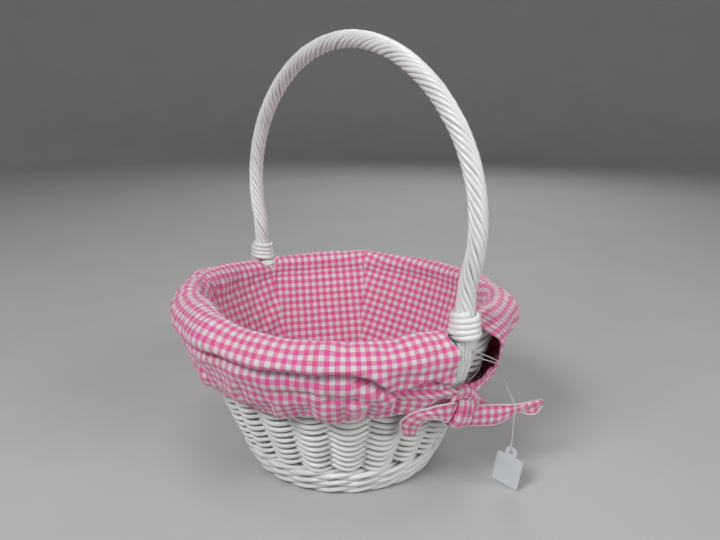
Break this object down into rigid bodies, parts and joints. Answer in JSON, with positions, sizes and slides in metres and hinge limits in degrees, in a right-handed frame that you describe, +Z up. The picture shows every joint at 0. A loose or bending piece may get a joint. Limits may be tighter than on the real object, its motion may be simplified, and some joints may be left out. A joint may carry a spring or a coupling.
{
  "type": "wicker basket with handle",
  "caption": "Round woven basket with a tall roped hoop handle, a checked cotton liner folded over the rim and tied at the handle's feet, and a blank strung tag.",
  "frame": {"origin": "middle of the base, on the surface the basket stands on", "axes": "+Z up through the crown of the handle; the handle stands in the XZ plane, with the tagged foot at +X; +Y is the back"},
  "size_m": [0.2754, 0.26, 0.3197],
  "materials": {
    "white_wicker": "glossy white paint over round cane",
    "gingham_cotton": "pink and white woven checks, matt cotton",
    "elastic": "white woven elastic",
    "string": "thin white twisted thread",
    "card": "smooth white card"
  },
  "bodies": {
    "root": {"base_stick_1": "white_wicker", "base_stick_2": "white_wicker", "base_stick_3": "white_wicker", "base_stick_4": "white_wicker", "base_stick_5": "white_wicker", "base_stick_6": "white_wicker", "base_stick_7": "white_wicker", "base_stick_8": "white_wicker", "base_weave": "white_wicker", "bottom_wale": "white_wicker", "stake_1": "white_wicker", "stake_2": "white_wicker", "stake_3": "white_wicker", "stake_4": "white_wicker", "stake_5": "white_wicker", "stake_6": "white_wicker", "stake_7": "white_wicker", "stake_8": "white_wicker", "stake_9": "white_wicker", "stake_10": "white_wicker", "stake_11": "white_wicker", "stake_12": "white_wicker", "stake_13": "white_wicker", "stake_14": "white_wicker", "stake_15": "white_wicker", "stake_16": "white_wicker", "stake_17": "white_wicker", "stake_18": "white_wicker", "stake_19": "white_wicker", "stake_20": "white_wicker", "stake_21": "white_wicker", "stake_22": "white_wicker", "stake_23": "white_wicker", "side_weave": "white_wicker", "border": "white_wicker", "handle_core": "white_wicker", "handle_roping": "white_wicker", "collar_right": "white_wicker", "collar_left": "white_wicker", "leg_canes_right": "white_wicker", "leg_canes_left": "white_wicker", "liner_bowl": "gingham_cotton", "liner_bottom": "gingham_cotton", "skirt_front": "gingham_cotton", "skirt_back": "gingham_cotton", "casing_front": "gingham_cotton", "casing_back": "gingham_cotton", "knot_right": "gingham_cotton", "knot_left": "gingham_cotton", "front_tail_right": "gingham_cotton", "back_tail_right": "gingham_cotton", "front_tail_left": "gingham_cotton", "back_tail_left": "gingham_cotton", "elastic_front": "elastic", "elastic_back": "elastic", "string_anchor": "string"},
    "string": {"tag_string": "string"},
    "tag": {"tag": "card"}
  },
  "joints": [
    {"name": "string_swing", "type": "hinge", "parent": "root", "child": "string", "pos_m": [0.1084, 0.0572, 0.0895], "axis": [-0.2857, -0.9583, 0], "range_deg": [0, 50]},
    {"name": "tag_swing", "type": "hinge", "parent": "string", "child": "tag", "pos_m": [0.127, 0.0537, 0.031], "axis": [-0.225, 0.9744, 0], "range_deg": [-60, 60]}
  ]
}
